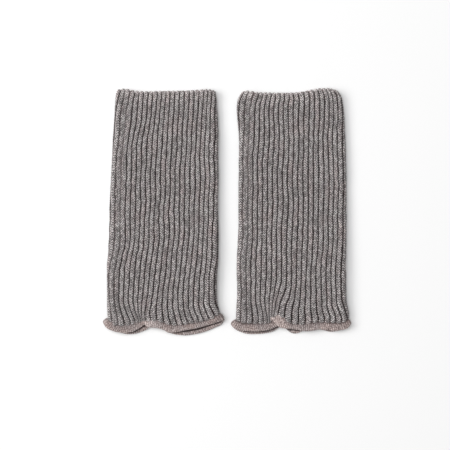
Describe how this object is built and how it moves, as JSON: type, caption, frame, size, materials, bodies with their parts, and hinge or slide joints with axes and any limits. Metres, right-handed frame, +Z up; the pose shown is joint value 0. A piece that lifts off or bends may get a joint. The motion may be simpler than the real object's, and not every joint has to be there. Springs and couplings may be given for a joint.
{
  "type": "fingerless gloves",
  "caption": "Pair of long fingerless gloves lying flat: ribbed marl knit tubes with plain bands round a thumb opening and a finger opening.",
  "frame": {"origin": "on the surface the pair lies on, under the middle of the pair's bounding box", "axes": "+Z up out of the surface, +Y towards the arm ends, +X across the pair from the left glove to the right; both thumb openings are on the -X side"},
  "size_m": [0.221, 0.22, 0.011],
  "materials": {
    "marl_rib_knit": "matt marled wool-blend rib knit",
    "plain_band_knit": "smooth fine-gauge knit, softly matt",
    "linking_yarn": "matt twisted yarn"
  },
  "bodies": {
    "left_glove": {"left_rib_sleeve": "marl_rib_knit", "left_thumb_band": "plain_band_knit", "left_finger_band": "plain_band_knit", "left_thumb_band_seam": "linking_yarn", "left_finger_band_seam": "linking_yarn", "left_side_seam": "linking_yarn", "left_web_tack": "linking_yarn"},
    "right_glove": {"right_rib_sleeve": "marl_rib_knit", "right_thumb_band": "plain_band_knit", "right_finger_band": "plain_band_knit", "right_thumb_band_seam": "linking_yarn", "right_finger_band_seam": "linking_yarn", "right_side_seam": "linking_yarn", "right_web_tack": "linking_yarn"}
  },
  "joints": [
    {"name": "right_glove_apart", "type": "slide", "parent": "left_glove", "child": "right_glove", "axis": [1, 0, 0], "range_m": [0, 0.12]}
  ]
}
